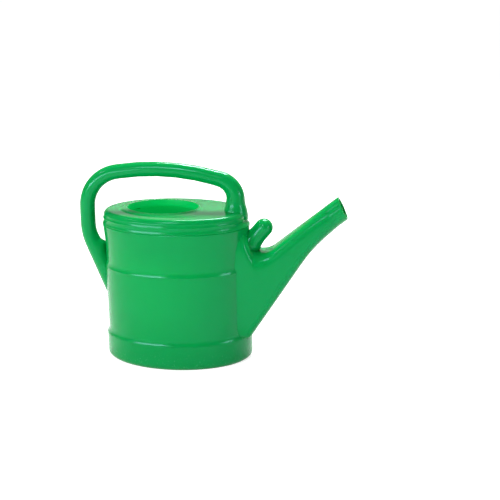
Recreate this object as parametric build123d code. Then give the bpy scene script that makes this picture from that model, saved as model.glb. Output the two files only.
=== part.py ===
from build123d import *

import os
from math import cos, pi, radians, sin

# Plastic watering can, about ten litres. Millimetres, +Z up.
# The origin is the middle of the base on the floor, +X points to the spout, Y is the can's width.

# Tank
tank_length = 270.0        # outside length of the oval wall below its step
tank_width = 186.0         # outside width of the oval wall below its step
wall = 2.5                 # thickness of every moulded wall
seam_gap = 0.15            # play between a spigot and its socket

# Base pan
band_height = 47.0
band_proud = 2.6           # how far the band stands out of the tank wall
base_edge_radius = 11.0
pan_floor = 3.0
pan_ledge_height = 14.0    # the tank wall stands on this ledge inside the band
foot_trim = 0.3            # trimmed flat off the underside, so that the can stands level

# Tank wall
step_height = 177.0        # moulded step half way up the wall
step_inset = 1.5           # how much narrower the wall is above the step
step_slope = 4.0           # height of the sloping face of the step
waist_height = 222.0       # the wall flares out above this height
flare_out = 3.2
flare_blend = 45.0
seam_height = 256.5        # top end of the wall

# Top cover
cover_height = 26.0        # from the seam to the deck
cover_inset = 0.9          # the cover is this much narrower than the top of the wall
bead_height = 13.5         # moulded step on the cover, above the seam
bead_inset = 1.0
bead_slope = 2.0
shoulder_lean = 6.0        # the side of the shoulder leans in this much up to the deck
shoulder_radius = 16.0
spigot_length = 12.0
filler_length = 131.0
filler_width = 112.0
filler_offset = 26.0       # the filler mouth lies this far behind the middle
deck_dome = 4.0            # the deck rises this much from the shoulder to the middle
collar_depth = 9.0         # lip of the filler mouth, below the deck
collar_rise = 4.5          # lip of the filler mouth, above the edge of the deck
collar_edge = 1.1

# Spout
spout_root_width = 106.0   # width of the wedge where it starts inside the tank
spout_root_inset = 51.0    # how far inside the front wall the wedge starts
root_top_drop = 3.5        # top of the wedge below the seam
root_top_inset = 10.0      # where the top of the wedge turns down, behind the front wall
root_top_round = 12.0
notch_out = 6.0            # rear corner of the saddle, past the front wall
notch_round = 14.0
saddle_out = 34.1          # front corner of the saddle, past the front wall
saddle_drop = 48.5         # floor of the saddle, below the seam
saddle_round = 36.0
heel_rise = 0.5            # underside of the wedge above the top of the band
heel_out = 4.5             # where the underside turns up, past the front wall
heel_round = 6.0
knee_out = 115.7           # the underside flattens here, past the front wall
knee_height = 216.4
knee_round = 250.0
spout_reach = 169.2        # middle of the mouth, past the front wall
mouth_height = 290.5       # middle of the mouth
tip_angle = 38.5           # slope of the tip's axis
mouth_angle = 25.5         # slope of the mouth's own normal
tip_radius = 21.8
tip_length = 26.0          # parallel tip that a rose pushes on to
tip_step = 0.8             # the tip is this much larger than the end of the taper
tip_overlap = 1.0
wedge_squareness = 4.0     # 2 is an ellipse, larger is boxier
spout_stations = 40
section_points = 28

# Handle
handle_clear = 34.0        # middle of the rear strut, behind the rear wall
strut_lean = 24.5          # slope of the strut where it runs into the wall
bend_drop = 23.0           # the strut bends this far below the seam
bend_radius = 85.0
crown_rise = 83.5          # corner of the crown above the deck
crown_offset = 16.5        # corner of the crown, behind the middle
rear_fall = 25.1           # the crown falls this much to the rear corner
front_fall = 32.8          # the crown falls this much to the front corner
rear_radius = 67.0
crown_radius = 430.0
front_radius = 38.0
foot_inset = 28.0          # middle of the front foot, behind the front wall
grip_radius = 13.0
strut_radius = 14.0
root_radius = 20.5         # where the strut meets the wall
foot_radius = 16.2
foot_flare_radius = 23.0
foot_flare_height = 13.0
root_depth = 26.0          # how far the strut's axis runs on inside the rear wall
rings_per_run = 3

# Rose peg
peg_radius = 16.8
peg_angle = 50.0
peg_out = 25.4             # middle of the peg's round end, past the front wall
peg_drop = 5.3             # middle of the peg's round end, below the seam
peg_length = 15.0          # plain shaft below the round end
boss_proud = 2.2           # the boss under the shaft is this much larger
boss_length = 45.0         # length of the boss before it is trimmed to the wall and saddle

half_length = tank_length / 2
half_width = tank_width / 2
deck_height = seam_height + cover_height
front_wall = half_length
rear_wall = -half_length
step_half = half_length - step_inset
rim_half = step_half + flare_out
cover_half = rim_half - cover_inset
neck_half = cover_half - bead_inset


def oval(outline, depth, radii):
    """Oval solid turned from half an outline of (half length, height) points.

    depth is how far the surface lies inside the tank's outside, so that walls keep their thickness all round.
    """
    ratio = (half_width - depth) / (half_length - depth)
    points = [(x, 0, z) for x, z in outline]
    line = FilletPolyline(*points, radius=radii, close=True)
    turned = revolve(make_face(line), Axis.Z)
    return scale(turned, by=(1, ratio, 1))


def wall_outline(depth, low, high):
    """Half outline of the tank wall from low to high, depth inside its outside."""
    flare = flare_out * (high - waist_height) / (seam_height - waist_height)
    outline = [
        (0, low),
        (half_length - depth, low),
        (half_length - depth, step_height - step_slope / 2),
        (step_half - depth, step_height + step_slope / 2),
        (step_half - depth, waist_height),
        (step_half - depth + flare, high),
        (0, high),
    ]
    radii = [0, 0, 0, 0, flare_blend, 0, 0]
    return outline, radii


def cover_outline(depth, low):
    """Half outline of the cover from low up to the deck, depth inside its outside."""
    top = deck_height - depth
    outline = [
        (0, low),
        (cover_half - depth, low),
        (cover_half - depth, seam_height + bead_height - bead_slope / 2),
        (neck_half - depth, seam_height + bead_height + bead_slope / 2),
        (neck_half - shoulder_lean - depth, top),
        (0, top + deck_dome),
    ]
    radii = [0, 0, bead_inset / 2, bead_inset / 2, shoulder_radius - depth, 0]
    return outline, radii


def wall_solid(depth, low, high):
    outline, radii = wall_outline(depth, low, high)
    return oval(outline, depth, radii)


def cover_solid(depth, low):
    outline, radii = cover_outline(depth, low)
    return oval(outline, depth, radii)


def plain_oval(half, low, high):
    """Upright oval block whose end is half away from the middle."""
    block = [(0, low), (half, low), (half, high), (0, high)]
    return oval(block, half_length - half, 0)


def pan_solid():
    """Full outside of the base pan."""
    band_half = half_length + band_proud
    low = -foot_trim
    outline = [(0, low), (band_half, low), (band_half, band_height), (0, band_height)]
    pan = oval(outline, -band_proud, [0, base_edge_radius, band_proud / 3, 0])
    return pan - Pos(0, 0, -tank_length) * Box(2 * tank_length, 2 * tank_length, 2 * tank_length)


def base_pan():
    inner_half = half_length - wall
    hollow = [(0, pan_floor), (inner_half, pan_floor), (inner_half, band_height), (0, band_height)]
    pan = pan_solid() - oval(hollow, wall, [0, base_edge_radius - pan_floor, 0, 0])
    return pan - plain_oval(half_length + seam_gap, pan_ledge_height, band_height + wall)


def tank_shell():
    return wall_solid(0, pan_ledge_height, seam_height) - wall_solid(wall, 0, deck_height)


def top_cover_shell():
    cover = cover_solid(0, seam_height) - cover_solid(wall, 0)
    spigot = wall_solid(wall + seam_gap, 0, deck_height) - wall_solid(2 * wall + seam_gap, 0, deck_height)
    spigot &= Pos(0, 0, seam_height) * Box(2 * tank_length, 2 * tank_width, 2 * spigot_length)
    mouth_top = Pos(-filler_offset, 0, deck_height + collar_rise)
    mouth_outline = Ellipse(filler_length / 2, filler_width / 2)
    collar_outline = Ellipse(filler_length / 2 + wall, filler_width / 2 + wall)
    collar = mouth_top * extrude(collar_outline, -collar_rise - collar_depth)
    mouth = mouth_top * extrude(mouth_outline, 2 * (collar_rise + collar_depth), both=True)
    cover = cover + spigot + collar - mouth
    rim = cover.edges().filter_by(GeomType.ELLIPSE).group_by(Axis.Z)[-1]
    return fillet(rim, collar_edge)


def can_volume():
    """Outside of pan, wall and cover as one solid block, for trimming what is welded on."""
    return pan_solid() + wall_solid(0, pan_ledge_height, seam_height) + cover_solid(0, seam_height)


def can_cavity():
    """Space inside the wall and cover."""
    return wall_solid(wall, 0, seam_height) + cover_solid(wall, seam_height)


tip_middle = Vector(front_wall + spout_reach, 0, mouth_height)
tip_axis = Vector(cos(radians(tip_angle)), 0, sin(radians(tip_angle)))
tip_up = Vector(-sin(radians(tip_angle)), 0, cos(radians(tip_angle)))
taper_end = tip_middle - tip_axis * tip_length
taper_radius = tip_radius - tip_step


def spout_top_line():
    """Side view of the spout's top: over the wedge's root, down to the saddle and up to the tip."""
    root_top = seam_height - root_top_drop
    end = taper_end + tip_up * taper_radius
    return FilletPolyline(
        (front_wall - spout_root_inset, 0, root_top),
        (front_wall - root_top_inset, 0, root_top),
        (front_wall + notch_out, 0, seam_height - saddle_drop),
        (front_wall + saddle_out, 0, seam_height - saddle_drop),
        end,
        radius=[root_top_round, notch_round, saddle_round],
    )


def spout_under_line():
    """Side view of the spout's underside: heel, long straight rise, knee and tip."""
    heel = band_height + heel_rise
    end = taper_end - tip_up * taper_radius
    return FilletPolyline(
        (front_wall - spout_root_inset, 0, heel),
        (front_wall + heel_out, 0, heel),
        (front_wall + knee_out, 0, knee_height),
        end,
        radius=[heel_round, knee_round],
    )


def wedge_section(top, under, half_span, squareness):
    """Rounded section between a point on the top line and one on the underside."""
    middle = (top + under) * 0.5
    half_tall = (top - under).length / 2
    plane = Plane(origin=middle, x_dir=(0, 1, 0), z_dir=Vector(0, 1, 0).cross(top - under))
    points = []
    for index in range(section_points):
        turn = 2 * pi * index / section_points
        across = abs(cos(turn)) ** (2 / squareness)
        along = abs(sin(turn)) ** (2 / squareness)
        across = across if cos(turn) > 0 else -across
        along = along if sin(turn) > 0 else -along
        points.append((half_span * across, half_tall * along))
    return plane * make_face(Spline(points, periodic=True))


def spout_solid(depth):
    """Solid spout from inside the tank to the mouth, depth inside its outside."""
    top_line = spout_top_line()
    under_line = spout_under_line()
    start_x = front_wall - spout_root_inset
    sections = []
    for index in range(spout_stations):
        share = index / (spout_stations - 1)
        top = top_line @ share
        under = under_line @ share
        inward = (top - under).normalized() * depth
        reach = ((top + under).X / 2 - start_x) / (taper_end.X - start_x)
        half_span = spout_root_width / 2 * (1 - reach) + taper_radius * reach
        squareness = wedge_squareness * (1 - share) + 2 * share
        sections.append(wedge_section(top - inward, under + inward, half_span - depth, squareness))
    taper = loft(sections)
    tip_length_all = 2 * (tip_length + tip_overlap)
    tip_plane = Plane(origin=taper_end - tip_axis * tip_overlap, z_dir=tip_axis)
    tip = tip_plane * Pos(0, 0, tip_length_all / 2) * Cylinder(tip_radius - depth, tip_length_all)
    mouth_normal = Vector(cos(radians(mouth_angle)), 0, sin(radians(mouth_angle)))
    offcut_size = 4 * tip_radius
    offcut = Plane(origin=tip_middle, z_dir=mouth_normal) * Pos(0, 0, offcut_size / 2)
    return taper + (tip - offcut * Box(offcut_size, offcut_size, offcut_size))


def handle_path():
    """Middle line of the handle, from inside the rear wall over the crown to inside the cover."""
    strut_x = rear_wall - handle_clear
    bend_z = seam_height - bend_drop
    run = (handle_clear + root_depth) / sin(radians(strut_lean))
    root = (strut_x + run * sin(radians(strut_lean)), 0, bend_z - run * cos(radians(strut_lean)))
    crown_z = deck_height + crown_rise
    foot_x = front_wall - foot_inset
    return FilletPolyline(
        root,
        (strut_x, 0, bend_z),
        (strut_x, 0, crown_z - rear_fall),
        (-crown_offset, 0, crown_z),
        (foot_x, 0, crown_z - front_fall),
        (foot_x, 0, deck_height - 2 * wall),
        radius=[bend_radius, rear_radius, crown_radius, front_radius],
    )


def handle_rings(path):
    """Places along the handle, as shares of its length, with the radius of the tube at each."""
    runs = path.edges()
    strut_start = (runs[0].length + runs[1].length) / path.length
    crown_start = (path.length - sum(run.length for run in runs[4:])) / path.length
    front_start = (path.length - sum(run.length for run in runs[7:])) / path.length
    flare_start = 1 - (foot_flare_height + 2 * wall) / path.length
    stations = [
        (0, root_radius),
        (strut_start, strut_radius),
        (crown_start, grip_radius),
        (front_start, grip_radius),
        (flare_start, foot_radius),
        (1, foot_flare_radius),
    ]
    rings = [stations[0]]
    for (start, first), (end, last) in zip(stations, stations[1:]):
        for index in range(1, rings_per_run + 1):
            part = index / rings_per_run
            rings.append((start + (end - start) * part, first + (last - first) * part))
    return rings


def handle_solid(depth):
    """Solid loop handle, depth inside its outside."""
    path = handle_path()
    sections = []
    for share, radius in handle_rings(path):
        plane = Plane(origin=path @ share, x_dir=(0, 1, 0), z_dir=path % share)
        sections.append(plane * Circle(radius - depth))
    return sweep(sections, path=path, multisection=True)


peg_axis = Vector(cos(radians(peg_angle)), 0, sin(radians(peg_angle)))
peg_middle = Vector(front_wall + peg_out, 0, seam_height - peg_drop)


def peg_solid(depth):
    """Solid peg with a round end and a boss under its shaft, depth inside its outside."""
    place = Plane(origin=peg_middle, z_dir=peg_axis)
    shaft_length = peg_length + boss_length
    shaft = place * Pos(0, 0, -shaft_length / 2) * Cylinder(peg_radius - depth, shaft_length)
    boss_top = Pos(0, 0, -peg_length - depth - boss_length / 2)
    boss = place * boss_top * Cylinder(peg_radius + boss_proud - depth, boss_length)
    return shaft + boss + Pos(peg_middle) * Sphere(peg_radius - depth)


def write(node, shape):
    """Write one sub-part and print its volume in cubic centimetres."""
    shape.label = node
    export_step(shape, os.path.join("parts", node + ".step"))
    print(node, "solids", len(shape.solids()), "cm3", round(shape.volume / 1000, 1))


def main():
    os.makedirs("parts", exist_ok=True)
    outside = can_volume()
    cavity = can_cavity()
    lip = wall / 2

    handle_outside = handle_solid(0)
    handle_lip = handle_solid(lip)
    handle_bore = handle_solid(wall)

    port = spout_solid(-seam_gap)
    core = plain_oval(half_length - 2 * wall, 0, deck_height)
    handle_socket = handle_solid(lip - seam_gap)
    tank_wall = tank_shell() - port - handle_socket
    top_cover = top_cover_shell() - port - handle_socket
    handle = (handle_outside - outside) + (handle_lip - cavity) - handle_bore
    spout = spout_solid(0) - spout_solid(wall) - core
    rose_peg = peg_solid(0) - peg_solid(wall) - outside - port - spout

    write("base_pan", base_pan())
    write("tank_wall", tank_wall)
    write("top_cover", top_cover)
    write("spout", spout)
    write("handle", handle)
    write("rose_peg", rose_peg)


main()
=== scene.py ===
# %% [markdown]
# # A green plastic watering can
# The can is moulded in a few shells of one green plastic and welded together: a base pan, an oval wall, a
# top cover with an open filler mouth, a spout, a loop handle and a small peg that parks the sprinkler rose.
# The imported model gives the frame: +X points to the spout, +Y is across the can, +Z is up, in metres.

# %% Load the frame
from math import ceil, cos, pi, radians, sin

import bmesh
import bpy
import numpy as np
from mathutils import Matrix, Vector


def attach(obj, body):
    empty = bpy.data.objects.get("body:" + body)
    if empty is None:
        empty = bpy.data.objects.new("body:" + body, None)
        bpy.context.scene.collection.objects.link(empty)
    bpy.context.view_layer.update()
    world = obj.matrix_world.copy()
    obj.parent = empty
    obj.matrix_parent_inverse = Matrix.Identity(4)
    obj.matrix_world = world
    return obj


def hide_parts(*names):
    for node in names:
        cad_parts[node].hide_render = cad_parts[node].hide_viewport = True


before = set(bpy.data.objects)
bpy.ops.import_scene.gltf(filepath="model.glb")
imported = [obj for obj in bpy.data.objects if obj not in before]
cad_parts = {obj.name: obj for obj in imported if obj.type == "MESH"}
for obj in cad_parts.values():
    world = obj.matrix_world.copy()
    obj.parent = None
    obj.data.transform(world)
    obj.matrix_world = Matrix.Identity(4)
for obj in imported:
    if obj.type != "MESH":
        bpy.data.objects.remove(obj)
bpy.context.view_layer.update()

print("nodes", sorted(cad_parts))

# %% [markdown]
# ## The camera
# The photo looks at the can's side from a little above, and from slightly in front of its middle. A
# position, a turn and a fall describe that view, and a long lens keeps the perspective as mild as it is
# there.

# %% Camera
camera_data = bpy.data.cameras.new("photo_camera")
camera_data.sensor_width = 36
camera_data.lens = 71.5
camera_data.clip_end = 100
camera = bpy.data.objects.new("photo_camera", camera_data)
bpy.context.scene.collection.objects.link(camera)
camera_turn = radians(-6)
camera_fall = radians(15.96)
look = Vector((sin(camera_turn) * cos(camera_fall), cos(camera_turn) * cos(camera_fall), -sin(camera_fall)))
camera.location = (0.3192, -1.7546, 0.712)
camera.rotation_euler = look.to_track_quat("-Z", "Y").to_euler()
bpy.context.scene.camera = camera
bpy.context.scene.view_settings.view_transform = "Standard"
print("camera", [round(value, 3) for value in camera.location], "lens", camera_data.lens)

# %% [markdown]
# ## Lines with rounded corners
# Every moulding of the can is drawn first as a side view: a few corners, each with its own radius. One
# helper turns such corners into a line of points, in millimetres. A Bezier curve could do it too, but true
# arcs keep the radii that a mould maker would cut, and the points go straight into the rings that the
# meshes are built from.

# %% Rounded line
def rounded_line(corners, radii, step=4.0):
    """Points along a line through the corners, with each inner corner turned in an arc of its own radius."""
    corners = [np.array(corner, float) for corner in corners]
    line = [corners[0]]
    for before, corner, after, radius in zip(corners, corners[1:], corners[2:], radii):
        back = (before - corner) / np.linalg.norm(before - corner)
        onward = (after - corner) / np.linalg.norm(after - corner)
        half = np.arccos(np.clip(back @ onward, -1, 1)) / 2
        middle = corner + (back + onward) / np.linalg.norm(back + onward) * radius / np.sin(half)
        first = corner + back * radius / np.tan(half) - middle
        last = corner + onward * radius / np.tan(half) - middle
        turn = pi - 2 * half
        pieces = max(3, ceil(turn / radians(5)))
        for index in range(pieces + 1):
            share = index / pieces
            turned = np.sin((1 - share) * turn) * first + np.sin(share * turn) * last
            line.append(middle + turned / np.sin(turn))
    line.append(corners[-1])
    full = [line[0]]
    for start, end in zip(line, line[1:]):
        parts = max(1, ceil(np.linalg.norm(end - start) / step))
        full += [start + (end - start) * (index + 1) / parts for index in range(parts)]
    return np.array(full)


def along(line, shares):
    """Points of a line at shares of its length, from 0 at its start to 1 at its end."""
    lengths = np.concatenate([[0], np.cumsum(np.linalg.norm(np.diff(line, axis=0), axis=1))])
    wanted = np.asarray(shares) * lengths[-1]
    return np.stack([np.interp(wanted, lengths, line[:, axis]) for axis in range(line.shape[1])], axis=-1)


print("a quarter turn of 10 mm has", len(rounded_line([(0, 20), (0, 0), (20, 0)], [10])), "points")

# %% [markdown]
# ## From rings to a closed moulding
# All pieces of the can are shells that run round something: the tank's middle, the spout's bore or the
# handle's line. So each mesh is a stack of rings with the same number of points, joined by quads. The stack
# either closes on itself, as a hollow shell does, or ends in two caps. That keeps the surface smooth and
# the mesh closed.

# %% Ring mesh
def ring_mesh(name, rings, capped):
    """Closed mesh object from rings of points in millimetres."""
    rings = np.asarray(rings, float)
    count, points = rings.shape[:2]
    faces = []
    for ring in range(count - 1 if capped else count):
        here = ring * points
        above = (ring + 1) % count * points
        for point in range(points):
            beside = (point + 1) % points
            faces.append((here + point, here + beside, above + beside, above + point))
    if capped:
        faces.append(tuple(range(points)))
        faces.append(tuple((count - 1) * points + point for point in range(points)))
    mesh = bpy.data.meshes.new(name)
    mesh.from_pydata((rings.reshape(-1, 3) / 1000).tolist(), [], faces)
    work = bmesh.new()
    work.from_mesh(mesh)
    bmesh.ops.recalc_face_normals(work, faces=work.faces)
    work.to_mesh(mesh)
    work.free()
    mesh.shade_smooth()
    thing = bpy.data.objects.new(name, mesh)
    bpy.context.scene.collection.objects.link(thing)
    return thing


def moulding(name, node, rings, capped=False):
    """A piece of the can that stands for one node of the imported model."""
    thing = ring_mesh(name, rings, capped)
    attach(thing, "root")
    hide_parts(node)
    size = [round(1000 * side) for side in thing.dimensions]
    print(name, "faces", len(thing.data.polygons), "size in mm", size)
    return thing


# %% [markdown]
# ## The oval tank
# The tank is oval in plan: an ellipse whose width is a fixed share of its length. A ring is then given by
# its half length and its height, and every moulding of the tank is a list of such pairs, drawn as a side
# view. In the photo the tank leans back by a few millimetres on its way up, as blown mouldings often do, so
# the rings do too. A moulded step on such a wall has a soft hollow above and a crisp edge below, which the
# light picks out as a bright line that fades upwards. `ramp` draws that hollow.

# %% Oval rings and ramps
half_length = 135.0
half_width = 93.0
wall = 2.5
play = 0.15
base_shift = 1.4
lean_back = 0.0149
points_around = 224
angles = np.arange(points_around) * 2 * pi / points_around


def oval_rings(outline):
    """Rings of the tank from (half length, height) pairs."""
    rings = []
    for half, height in outline:
        across = half * half_width / half_length
        along_x = half * np.cos(angles) + base_shift - lean_back * height
        rings.append(np.stack([along_x, across * np.sin(angles), np.full(points_around, height)], 1))
    return rings


def ramp(foot, edge_height, rise, proud):
    """Hollow above a moulded edge: the wall comes out by proud on the last of its way down to the edge."""
    shares = np.linspace(0, 1, 13)
    return [(foot + proud * (1 - share) ** 2, edge_height + rise * share) for share in shares]


print("a ring of the tank is", 2 * half_length, "by", 2 * half_width, "mm")

# %% [markdown]
# ## Base pan
# The pan closes the bottom of the can. Its outside is a slightly proud band with a large rounded lower
# edge, and the tank wall stands on a ledge inside it. The outline starts and ends in the middle, so the two
# ends are capped.

# %% Base pan
band_half = 138.6
band_height = 47.0
ledge_height = 14.0
pan_floor = 3.0
socket_half = half_length + play
pan_outside = rounded_line(
    [
        (1, 0),
        (band_half, 0),
        (band_half, band_height),
        (socket_half, band_height),
        (socket_half, ledge_height),
    ],
    [11, 1.0, 0.05],
)
pan_inside = rounded_line(
    [(half_length - wall, ledge_height), (half_length - wall, pan_floor), (1, pan_floor)],
    [8],
)
pan = moulding("base_pan_moulding", "base_pan", oval_rings([*pan_outside, *pan_inside]), capped=True)

# %% [markdown]
# ## Tank wall
# The wall comes up out of the pan with a soft hollow over the band, steps in a little half way up, and
# flares out again towards the seam with the cover. Outside and inside are one outline that closes on
# itself.

# %% Tank wall
step_height = 177.0
upper_half = 133.5
waist_height = 222.0
seam_height = 256.5
rim_half = 136.7
lower_outside = [(half_length, ledge_height), (half_length, 40), (half_length, band_height + 0.1)]
lower_outside += ramp(half_length, band_height + 0.1, 12, band_half - half_length - 0.1)
lower_outside += [(half_length, height) for height in (62, 80, 100, 120, 140, 160, 170, step_height - 3)]
lower_outside += [(half_length + 0.1, step_height - 2), (half_length + 0.4, step_height - 1.2)]
step_edge = ramp(upper_half - 0.6, step_height - 0.6, 12, half_length - upper_half + 1.2)
upper_outside = rounded_line(
    [
        (upper_half - 0.6, 190),
        (upper_half, waist_height),
        (rim_half, seam_height - 2),
        (rim_half - 0.8, seam_height - 0.4),
    ],
    [90, 1.0],
)
wall_inside = rounded_line(
    [
        (rim_half - wall, seam_height),
        (upper_half - wall, waist_height),
        (upper_half - wall, step_height + 8),
        (half_length - wall, step_height - 4),
        (half_length - wall, ledge_height),
    ],
    [90, 10, 10],
)
wall_outline = [*lower_outside, *step_edge, *upper_outside, *wall_inside]
tank = moulding("tank_wall_moulding", "tank_wall", oval_rings(wall_outline))

# %% [markdown]
# ## Top cover
# The cover sits on the wall with a spigot inside it, carries one more moulded bead, turns over a round
# shoulder into the deck, and ends in the lip of the filler mouth. The deck rises slightly to that lip, and
# its front end leans back under the handle's foot. The mouth is an oval of its own, set back towards the
# handle's rear, so between shoulder and lip the rings change gradually from the one oval to the other.

# %% Top cover
deck_height = 282.5
cover_half = 135.2
neck_half = 134.1
bead_height = 268.4
deck_edge = 104.0
spigot_low = 244.5
mouth_half_length = 65.5
mouth_half_width = 56.0
mouth_offset = 26.0
shoulder_outside = [(135.9, seam_height - 0.2), (136.8, seam_height + 0.2)]
shoulder_outside += ramp(cover_half, seam_height + 0.9, 7.5, 1.9)
shoulder_outside += [
    (cover_half, bead_height - 2.2),
    (cover_half + 0.1, bead_height - 1.2),
    (cover_half + 0.4, bead_height - 0.6),
]
shoulder_outside += ramp(neck_half, bead_height, 6.5, 1.7)
shoulder_corners = [(134.0, 275.4), (130.0, deck_height - 0.1), (deck_edge, deck_height + 0.8)]
shoulder_outside += list(rounded_line(shoulder_corners, [10.5], step=3))
shoulder_inside = rounded_line(
    [
        (deck_edge, deck_height - wall),
        (126, deck_height - wall),
        (132.3, 268),
        (131.4, seam_height),
        (130.9, spigot_low),
    ],
    [12, 6, 20],
)
spigot = [(133.4, spigot_low), (134.0, seam_height - 0.2), (134.0, seam_height + 0.1)]


def mouth_ring(out, height):
    """Ring round the filler mouth, out past its edge."""
    x = (mouth_half_length + out) * np.cos(angles) - mouth_offset
    y = (mouth_half_width + out) * np.sin(angles)
    return np.stack([x, y, np.full(points_around, height)], 1)


def between(first, last, count):
    """Rings that change gradually from one ring to another, without the two ends."""
    return [first + (last - first) * (index + 1) / (count + 1) for index in range(count)]


lip = [(9, 2.5), (7, 2.85), (5, 3.25), (3.4, 3.6), (2.2, 3.9)]
lip += [(1.4, 4.05), (0.8, 4.05), (0.3, 3.75), (0, 3.2)]
lip += [(0, 0), (0, -5), (0, -8.6), (0.4, -9), (2.1, -9), (2.5, -8.6), (2.5, -5)]
lip_rings = [mouth_ring(out, deck_height + rise) for out, rise in lip]
outer_rings = oval_rings(shoulder_outside)
inner_rings = oval_rings([*shoulder_inside, *spigot])
front_share = np.clip(np.cos(angles), 0, 1) ** 6
for ring in [*outer_rings, *inner_rings]:
    ring[:, 0] -= front_share * np.clip((ring[:, 2] - seam_height) * 0.45, 0, 5)
under_deck = mouth_ring(2.6, deck_height - wall)
cover_rings = [*outer_rings, *between(outer_rings[-1], lip_rings[0], 8), *lip_rings, under_deck]
cover_rings += [*between(under_deck, inner_rings[0], 8), *inner_rings]
cover = moulding("top_cover_moulding", "top_cover", cover_rings)

# %% [markdown]
# ## Spout
# The spout leaves the tank as a tall wedge and narrows to a round tube. Its side view is two lines, the top
# with its saddle and the underside with its knee. A section stands between the two lines at each share of
# their length: boxy at the root, most of all along the underside, and round at the tip. The upper edges
# stay boxy for longer than the lower ones, which makes the ridge that the light follows up the spout. Each
# lengthwise line of the surface starts where it passes through the tank's wall, so that the shell ends
# there all round.

# %% Spout side view and sections
tip_angle = radians(38.5)
tip_axis = np.array([cos(tip_angle), sin(tip_angle)])
tip_up = np.array([-sin(tip_angle), cos(tip_angle)])
mouth_middle = np.array([304.0, 291.4])
tip_radius = 21.8
tip_length = 26.0
taper_end = mouth_middle - tip_axis * tip_length
taper_radius = tip_radius - 0.1
root_half_span = 53.0
root_x = 84.0
root_top = 253.0
saddle_height = 208.0
heel_height = 45.2
squareness_above = 4.5
squareness_below = 9
round_section = 2
top_end = taper_end + tip_up * taper_radius
under_end = taper_end - tip_up * taper_radius
spout_top = rounded_line(
    [(root_x, root_top), (125, root_top), (141, saddle_height), (169.1, saddle_height), top_end],
    [12, 14, 36],
    step=1.5,
)
spout_under = rounded_line(
    [(root_x, heel_height), (138.2, heel_height), (250.7, 216.4), under_end],
    [5, 250],
    step=1.5,
)
spout_points = 128
spout_turns = np.arange(spout_points) * 2 * pi / spout_points


def spout_sections(depth, shares):
    """Sections of the tapering spout, depth inside its outside: shares by points by xyz."""
    top = along(spout_top, shares)
    under = along(spout_under, shares)
    inward = (top - under) / np.linalg.norm(top - under, axis=1)[:, None] * depth
    top = top - inward
    under = under + inward
    middle = (top + under) / 2
    upright = (top - under) / 2
    reach = (middle[:, 0] - root_x) / (taper_end[0] - root_x)
    half_span = root_half_span * (1 - reach) + taper_radius * reach - depth
    below = np.sin(spout_turns) < 0
    squareness = np.where(below, squareness_below, squareness_above)
    roundness = np.where(below, shares[:, None], 1 - (1 - shares[:, None] ** 3) ** 1.3)
    power = 2 / (squareness * (1 - roundness) + round_section * roundness)
    across = np.sign(np.cos(spout_turns)) * np.abs(np.cos(spout_turns)) ** power
    height = np.sign(np.sin(spout_turns)) * np.abs(np.sin(spout_turns)) ** power
    x = middle[:, :1] + upright[:, :1] * height
    y = half_span[:, None] * across
    z = middle[:, 1:] + upright[:, 1:] * height
    return np.stack([x, y, z], axis=-1)


def from_wall(sections, limit, count):
    """Resample each lengthwise line so that it starts where it leaves the oval of the given half length."""
    across = limit * half_width / half_length
    outside = np.hypot(sections[..., 0] / limit, sections[..., 1] / across)
    last = sections.shape[0] - 1
    lines = []
    for point in range(sections.shape[1]):
        inside = np.nonzero(outside[:, point] < 1)[0][-1]
        gap = outside[inside + 1, point] - outside[inside, point]
        start = inside + (1 - outside[inside, point]) / gap
        places = np.linspace(start, last, count)
        line = sections[:, point]
        lines.append([np.interp(places, np.arange(last + 1), line[:, axis]) for axis in range(3)])
    return np.array(lines).transpose(2, 0, 1)


fine_shares = np.linspace(0, 1, 400)
spout_outside = from_wall(spout_sections(0, fine_shares), half_length - 2 * wall, 90)
spout_inside = from_wall(spout_sections(wall, fine_shares), half_length - 2 * wall, 90)
print("the wedge is", round(float(np.ptp(spout_outside[0, :, 1]))), "mm wide where it leaves the tank")

# %% [markdown]
# ## Spout tip
# The last 26 mm are a parallel tube that a rose pushes on to, almost flush with the taper. The mouth is cut
# off at a slant, so each lengthwise line of the tube stops at its own place on the cutting plane.

# %% Spout tip and shell
mouth_slant = np.tan(tip_angle - radians(25.5))


def tip_ring(radius, setback, slanted):
    """Ring of the parallel tip, setback behind the mouth; a slanted ring follows the cut of the mouth."""
    side = radius * np.cos(spout_turns)
    rise = radius * np.sin(spout_turns)
    onward = -setback + (slanted * mouth_slant * rise)
    plane = mouth_middle + onward[:, None] * tip_axis + rise[:, None] * tip_up
    return np.stack([plane[:, 0], side, plane[:, 1]], axis=-1)


def tube_rings(radius):
    """Rings of the parallel tip from its root to its mouth, slanted more and more on the way."""
    setbacks = (22, 17, 12, 8, 4, 2, 0.9)
    return [tip_ring(radius, setback, 1 - setback / tip_length) for setback in setbacks]


tip_outside = [tip_ring(tip_radius - 0.05, tip_length - 1.5, 0), *tube_rings(tip_radius)]
edge_rounding = ((0.3, 0.25), (0.9, 0), (1.6, 0), (2.2, 0.25))
mouth_edge = [tip_ring(tip_radius - inset, setback, 1) for inset, setback in edge_rounding]
tip_inside = tube_rings(tip_radius - wall)[::-1]
spout_rings = [*spout_outside, *tip_outside, *mouth_edge, *tip_inside, *spout_inside[::-1]]
spout = moulding("spout_moulding", "spout", spout_rings)

# %% [markdown]
# ## Port in the tank wall
# Water reaches the spout through a port in the tank's wall. A boolean cut makes it, with a plug of the
# spout's own shape that lies half a wall inside its outside. The cut is applied at once, so that the wall
# stays a plain mesh.

# %% Cut the port
plug = ring_mesh("port_plug", spout_sections(wall / 2, np.linspace(0, 0.6, 50)), capped=True)


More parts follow.
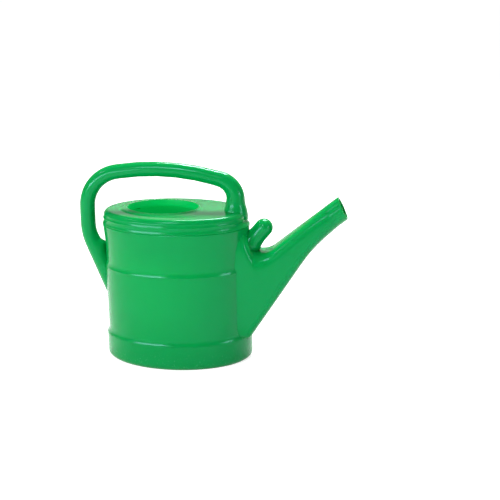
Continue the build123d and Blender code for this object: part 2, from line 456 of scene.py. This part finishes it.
def cut_with(thing, tool):
    """Cut a tool's shape out of a piece, and take the tool away."""
    cut = thing.modifiers.new("cut", "BOOLEAN")
    cut.operation = "DIFFERENCE"
    cut.solver = "EXACT"
    cut.object = tool
    shaped = bpy.data.meshes.new_from_object(thing.evaluated_get(bpy.context.evaluated_depsgraph_get()))
    thing.modifiers.clear()
    thing.data = shaped
    bpy.data.objects.remove(tool)
    print(thing.name, "has", len(shaped.polygons), "faces after the cut")


cut_with(tank, plug)

# %% [markdown]
# ## Handle
# The handle is one hollow loop: a strut that leaves the rear wall at a slant, a long crown over the deck,
# and a front foot on the shoulder. It could be a curve with a bevel, but the tube changes its thickness on
# the way and swells where it is moulded on to the tank, so its rings are placed one by one along the rounded
# line. In the narrow angle between strut and wall the moulding fills up to a small web: there the inner
# side of each ring is drawn out to the wall. The loop's bore can't be seen from outside the can, so only
# the outside is drawn here.

# %% Handle
strut_x = -168.6
bend_z = 233.5
strut_lean = radians(24.5)
strut_run = 60 / sin(strut_lean)
foot_x = 108.4
handle_corners = [
    (strut_x + strut_run * sin(strut_lean), bend_z - strut_run * cos(strut_lean)),
    (strut_x, bend_z),
    (strut_x, 340.2),
    (-16.5, 365.2),
    (foot_x, 332.4),
    (foot_x, deck_height - 16),
]
handle_line = rounded_line(handle_corners, [85, 67, 430, 38], step=2)
handle_stations = along(handle_line, np.linspace(0, 1, 300))
handle_points = 72
handle_turns = np.arange(handle_points) * 2 * pi / handle_points


def nearest_share(x, z):
    """Share of the handle's length at the place nearest to a point."""
    away = np.hypot(handle_stations[:, 0] - x, handle_stations[:, 1] - z)
    return np.argmin(away) / (len(handle_stations) - 1)


swell = [
    (0, 20.5),
    (nearest_share(-160, 212), 15.4),
    (nearest_share(strut_x, bend_z), 14.2),
    (nearest_share(strut_x, 300), 14.2),
    (nearest_share(-110, 350), 13.8),
    (nearest_share(-16, 364), 13.7),
    (nearest_share(70, 343), 14),
    (nearest_share(foot_x, 312), 16.6),
    (nearest_share(foot_x, deck_height + 13), 18),
    (nearest_share(foot_x, deck_height + 6), 19.5),
    (nearest_share(foot_x, deck_height + 2), 21.2),
    (nearest_share(foot_x, deck_height), 22.6),
    (1, 23.5),
]
handle_shares = np.linspace(0, 1, len(handle_stations))
handle_radii = np.interp(handle_shares, *np.array(swell).T)
smoothing = np.ones(9) / 9
handle_radii = np.convolve(np.pad(handle_radii, 4, mode="edge"), smoothing, mode="valid")
heading = np.gradient(handle_stations, axis=0)
heading /= np.linalg.norm(heading, axis=1)[:, None]
rear_wall_line = np.array([*step_edge, *upper_outside])
web_low = 210.0
web_high = 223.0
handle_rings = []
for place, way, radius in zip(handle_stations, heading, handle_radii):
    inner_x = place[0] + way[1] * radius
    inner_z = place[1] - way[0] * radius
    wall_x = base_shift - lean_back * inner_z - np.interp(inner_z, rear_wall_line[:, 1], rear_wall_line[:, 0])
    fill = np.clip((web_high - inner_z) / (web_high - web_low), 0, 1)
    web = max(0, wall_x - inner_x) * fill ** 2 * (3 - 2 * fill) if place[0] < -half_length else 0
    side = radius * np.cos(handle_turns)
    rise = radius * np.sin(handle_turns)
    rise = np.where(rise < 0, rise * (1 + web / radius), rise)
    handle_rings.append(np.stack([place[0] - way[1] * rise, side, place[1] + way[0] * rise], axis=-1))
handle = moulding("handle_moulding", "handle", handle_rings, capped=True)

# %% [markdown]
# ## Rose peg
# Between handle and spout stands a short closed peg with a round end, where the rose is parked while it
# isn't used. Its rings run up from a boss that spreads on to the saddle, along a straight shaft, and close
# over a half ball. The peg of the solids is hollow, but nothing of that is seen, so this mesh has only the
# outside.

# %% Rose peg
peg_angle = radians(50)
peg_axis = np.array([cos(peg_angle), sin(peg_angle)])
peg_up = np.array([-sin(peg_angle), cos(peg_angle)])
peg_middle = np.array([160.4, 251.2])
peg_radius = 16.8
peg_points = 64
peg_turns = np.arange(peg_points) * 2 * pi / peg_points


def peg_ring(onward, radius):
    """Ring of the peg, onward from the middle of its round end."""
    rise = radius * np.sin(peg_turns)
    plane = peg_middle + onward * peg_axis + rise[:, None] * peg_up
    return np.stack([plane[:, 0], radius * np.cos(peg_turns), plane[:, 1]], axis=-1)


boss_places = np.linspace(-46, -1.5, 40)
boss_spread = 4.5 * np.clip((-14 - boss_places) / 22, 0, 1) ** 2
peg_rings = [peg_ring(onward, peg_radius + spread) for onward, spread in zip(boss_places, boss_spread)]
ball = np.linspace(0, radians(88), 24)
peg_rings += [peg_ring(peg_radius * np.sin(tilt), peg_radius * np.cos(tilt)) for tilt in ball]
peg = moulding("rose_peg_moulding", "rose_peg", peg_rings, capped=True)

# %% [markdown]
# ## Moulded plastic
# Polyethylene is coloured right through, so the colour is almost even, but a moulded surface is never quite
# flat: it has a fine grain from the mould, shallow waves from cooling, slight clouding, and scuffs low down
# where the can is set on paving. One node group makes those effects, and each material places it with its
# own values. The walls are thin enough to let some light through, which is why the inside of the real can
# looks bright through its filler mouth. A little subsurface scattering softens the outside, and the faces
# inside get a painted glow of the same green that stands in for that light.

# %% Plastic surface group
def plastic_group():
    """Node group that gives the colour, roughness and height of moulded plastic."""
    group = bpy.data.node_groups.new("moulded_plastic", "ShaderNodeTree")
    face = group.interface
    face.new_socket("Colour", in_out="INPUT", socket_type="NodeSocketColor")
    face.new_socket("Cloud colour", in_out="INPUT", socket_type="NodeSocketColor")
    face.new_socket("Roughness", in_out="INPUT", socket_type="NodeSocketFloat")
    face.new_socket("Scuff height", in_out="INPUT", socket_type="NodeSocketFloat")
    face.new_socket("Colour", in_out="OUTPUT", socket_type="NodeSocketColor")
    face.new_socket("Roughness", in_out="OUTPUT", socket_type="NodeSocketFloat")
    face.new_socket("Height", in_out="OUTPUT", socket_type="NodeSocketFloat")
    nodes = group.nodes
    link = group.links.new
    given = nodes.new("NodeGroupInput")
    made = nodes.new("NodeGroupOutput")
    place = nodes.new("ShaderNodeTexCoord")

    def noise(scale, detail):
        texture = nodes.new("ShaderNodeTexNoise")
        texture.inputs["Scale"].default_value = scale
        texture.inputs["Detail"].default_value = detail
        link(place.outputs["Object"], texture.inputs["Vector"])
        return texture.outputs["Fac"]

    def maths(operation, first, second):
        node = nodes.new("ShaderNodeMath")
        node.operation = operation
        node.use_clamp = operation == "MULTIPLY"
        for socket, value in zip(node.inputs, (first, second)):
            if isinstance(value, (int, float)):
                socket.default_value = value
            else:
                link(value, socket)
        return node.outputs[0]

    clouds = noise(9, 3)
    grain = noise(1400, 2)
    waves = noise(26, 1)
    scratches = noise(240, 4)
    split = nodes.new("ShaderNodeSeparateXYZ")
    link(place.outputs["Object"], split.inputs["Vector"])
    low = nodes.new("ShaderNodeMapRange")
    low.inputs["From Min"].default_value = 0
    low.inputs["To Min"].default_value = 1
    low.inputs["To Max"].default_value = 0
    link(split.outputs["Z"], low.inputs["Value"])
    link(given.outputs["Scuff height"], low.inputs["From Max"])
    scuffs = nodes.new("ShaderNodeMapRange")
    scuffs.inputs["From Min"].default_value = 0.56
    scuffs.inputs["From Max"].default_value = 0.72
    link(scratches, scuffs.inputs["Value"])
    worn = maths("MULTIPLY", low.outputs["Result"], scuffs.outputs["Result"])
    cloudy = nodes.new("ShaderNodeMix")
    cloudy.data_type = "RGBA"
    link(clouds, cloudy.inputs["Factor"])
    link(given.outputs["Colour"], cloudy.inputs["A"])
    link(given.outputs["Cloud colour"], cloudy.inputs["B"])
    pale = nodes.new("ShaderNodeMix")
    pale.data_type = "RGBA"
    pale.inputs["B"].default_value = (0.10, 0.42, 0.20, 1)
    link(maths("MULTIPLY", worn, 0.15), pale.inputs["Factor"])
    link(cloudy.outputs["Result"], pale.inputs["A"])
    link(pale.outputs["Result"], made.inputs["Colour"])
    mottled = maths("ADD", given.outputs["Roughness"], maths("MULTIPLY", clouds, 0.05))
    link(maths("ADD", mottled, maths("MULTIPLY", worn, 0.2)), made.inputs["Roughness"])
    relief = maths("ADD", maths("MULTIPLY", waves, 0.6), maths("MULTIPLY", grain, 0.06))
    link(maths("SUBTRACT", relief, maths("MULTIPLY", worn, 0.08)), made.inputs["Height"])
    return group


moulded_plastic = plastic_group()
print("group", moulded_plastic.name, "with", len(moulded_plastic.nodes), "nodes")

# %% [markdown]
# ## Four finishes of the same green
# The tank is the largest moulding and shows scuffs near the floor, its inside is duller and has a painted
# glow for the light that comes through the wall, the spout keeps the plain moulded face, and the handle is
# polished a little by hands.
# The base colour is set once, so that all of them stay one plastic.

# %% Materials
plastic_green = (0.0, 0.28, 0.056, 1)
cloud_green = (0.0, 0.275, 0.055, 1)
# Colour of the painted glow on the tank's inside faces, which stands in for light coming through the thin
# wall.
painted_glow_green = (0.0, 0.36, 0.062, 1)
inside_share = 0.99
tank_middle = Vector((-mouth_offset / 1000, 0, 0.15))


def plastic(name, roughness, scuff_height, glow, pieces):
    """Material of one finish, added to its pieces; glow is a painted glow for the light that comes through
    the wall.
    """
    material = bpy.data.materials.new(name)
    material.use_nodes = True
    nodes = material.node_tree.nodes
    link = material.node_tree.links.new
    shader = nodes["Principled BSDF"]
    shader.inputs["IOR"].default_value = 1.5
    shader.inputs["Specular IOR Level"].default_value = 0.24
    shader.inputs["Specular Tint"].default_value = (0.4, 0.72, 1.0, 1)
    shader.inputs["Subsurface Weight"].default_value = 0.6
    shader.inputs["Subsurface Radius"].default_value = (0.2, 1.0, 0.45)
    shader.inputs["Subsurface Scale"].default_value = 0.006
    surface = nodes.new("ShaderNodeGroup")
    surface.node_tree = moulded_plastic
    surface.inputs["Colour"].default_value = plastic_green
    surface.inputs["Cloud colour"].default_value = cloud_green
    surface.inputs["Roughness"].default_value = roughness
    surface.inputs["Scuff height"].default_value = scuff_height
    # Painted glow: where glow is above 0 the faces emit green, in place of light coming through the wall.
    shader.inputs["Emission Color"].default_value = painted_glow_green
    shader.inputs["Emission Strength"].default_value = glow
    bump = nodes.new("ShaderNodeBump")
    bump.inputs["Strength"].default_value = 0.15
    bump.inputs["Distance"].default_value = 0.0006
    link(surface.outputs["Colour"], shader.inputs["Base Color"])
    link(surface.outputs["Roughness"], shader.inputs["Roughness"])
    link(surface.outputs["Height"], bump.inputs["Height"])
    link(bump.outputs["Normal"], shader.inputs["Normal"])
    for thing in pieces:
        thing.data.materials.append(material)
    print(name, "on", [thing.name for thing in pieces])


def mark_inside(thing):
    """Give the second material place to the faces that look at the middle of the tank."""
    count = 0
    for face in thing.data.polygons:
        x, y = 1000 * face.center.xy
        looks_in = face.normal.dot(tank_middle - face.center) > 0
        within = np.hypot(x / half_length, y / half_width) < inside_share
        face.material_index = int(looks_in and within)
        count += face.material_index
    print(thing.name, "has", count, "faces inside the tank")


for piece in (pan, tank, cover, spout, peg, handle):
    piece.data.materials.clear()
plastic("tank_plastic", 0.16, 0.05, 0, [pan, tank, cover])
# The inside faces get a painted glow of strength 0.7.
plastic("tank_inside_plastic", 0.4, 0.01, 0.7, [pan, tank, cover])
plastic("spout_plastic", 0.17, 0.03, 0, [spout, peg])
plastic("handle_plastic", 0.15, 0.03, 0, [handle])
# Faces inside the tank take the second material, the one with the painted glow.
for piece in (pan, tank, cover):
    mark_inside(piece)

# %% [markdown]
# ## Floor and light
# The photo has a plain white ground and soft studio light. A large pale floor takes the can's shadow, and
# for the camera and for reflections it is white. The lamps don't reach its far part, so it glows a little
# more there. The surroundings are a plain pale grey. Two strips of light stand low at the left and right in
# front, where the moulded steps mirror them, a wide lamp hangs overhead and behind, which draws the bright
# line on the shoulder, one in front above the camera draws the line along the handle, a narrow one high at
# the left draws the ridge of the spout, and a large dim panel stands far behind, which the deck mirrors.

# %% Floor
floor_mesh = bpy.data.meshes.new("floor")
edge = 40
floor_corners = [(-edge, -edge, 0), (edge, -edge, 0), (edge, edge, 0), (-edge, edge, 0)]
floor_mesh.from_pydata(floor_corners, [], [(0, 1, 2, 3)])
floor = bpy.data.objects.new("floor", floor_mesh)
bpy.context.scene.collection.objects.link(floor)
floor_material = bpy.data.materials.new("pale_floor")
floor_material.use_nodes = True
floor_nodes = floor_material.node_tree.nodes
floor_link = floor_material.node_tree.links.new
floor_shader = floor_nodes["Principled BSDF"]
floor_shader.inputs["Base Color"].default_value = (0.6, 0.6, 0.6, 1)
floor_shader.inputs["Roughness"].default_value = 0.9
floor_shader.inputs["Specular IOR Level"].default_value = 0
floor_shader.inputs["Emission Color"].default_value = (1, 1, 1, 1)


def seen_or_mirrored(nodes, link):
    """Socket that is 1 for rays from the camera, a reflection or a see-through surface."""
    path = nodes.new("ShaderNodeLightPath")
    first = nodes.new("ShaderNodeMath")
    first.operation = "MAXIMUM"
    link(path.outputs["Is Camera Ray"], first.inputs[0])
    link(path.outputs["Is Glossy Ray"], first.inputs[1])
    both = nodes.new("ShaderNodeMath")
    both.operation = "MAXIMUM"
    link(first.outputs[0], both.inputs[0])
    link(path.outputs["Is Transmission Ray"], both.inputs[1])
    return both.outputs[0]


floor_place = floor_nodes.new("ShaderNodeTexCoord")
distance = floor_nodes.new("ShaderNodeVectorMath")
distance.operation = "LENGTH"
floor_link(floor_place.outputs["Object"], distance.inputs[0])
whitening = floor_nodes.new("ShaderNodeMapRange")
whitening.inputs["From Min"].default_value = 2
whitening.inputs["From Max"].default_value = 6
whitening.inputs["To Min"].default_value = 0.76
whitening.inputs["To Max"].default_value = 0.86
floor_link(distance.outputs["Value"], whitening.inputs["Value"])
glow = floor_nodes.new("ShaderNodeMath")
glow.operation = "MULTIPLY"
floor_link(seen_or_mirrored(floor_nodes, floor_link), glow.inputs[0])
floor_link(whitening.outputs["Result"], glow.inputs[1])
floor_link(glow.outputs[0], floor_shader.inputs["Emission Strength"])
floor_mesh.materials.append(floor_material)
print("floor", 2 * edge, "m wide")

# %% World and lamps
world = bpy.data.worlds.new("white_studio")
bpy.context.scene.world = world
world.use_nodes = True
sky = world.node_tree.nodes["Background"]
sky.inputs["Color"].default_value = (1, 1, 1, 1)
sky.inputs["Strength"].default_value = 0.28


def soft_lamp(name, place, target, width, depth, power):
    """Flat lamp that points at a target."""
    data = bpy.data.lights.new(name, "AREA")
    data.shape = "RECTANGLE"
    data.size = width
    data.size_y = depth
    data.energy = power
    lamp = bpy.data.objects.new(name, data)
    bpy.context.scene.collection.objects.link(lamp)
    lamp.location = place
    lamp.rotation_euler = (Vector(target) - Vector(place)).to_track_quat("-Z", "Y").to_euler()
    print(name, "at", place, "with", power, "W")


soft_lamp("left_strip_lamp", (-1.5, -2.12, 0.7), (0, 0, 0.2), 1.8, 0.35, 46)
soft_lamp("right_strip_lamp", (2.36, -1.1, 0.7), (0, 0, 0.2), 0.8, 0.35, 12)
soft_lamp("overhead_lamp", (0.28, 1.4, 2.6), (0, 0, 0.28), 1.4, 0.6, 135)
soft_lamp("front_lamp", (-0.4, -2.0, 2.0), (0, 0, 0.28), 0.8, 0.3, 24)
soft_lamp("ridge_lamp", (-1.6, -0.6, 1.75), (0.25, 0, 0.25), 0.7, 0.12, 5)
soft_lamp("back_panel_lamp", (0.2, 3.2, 1.25), (0, 0, 0.6), 3.5, 1.0, 6)
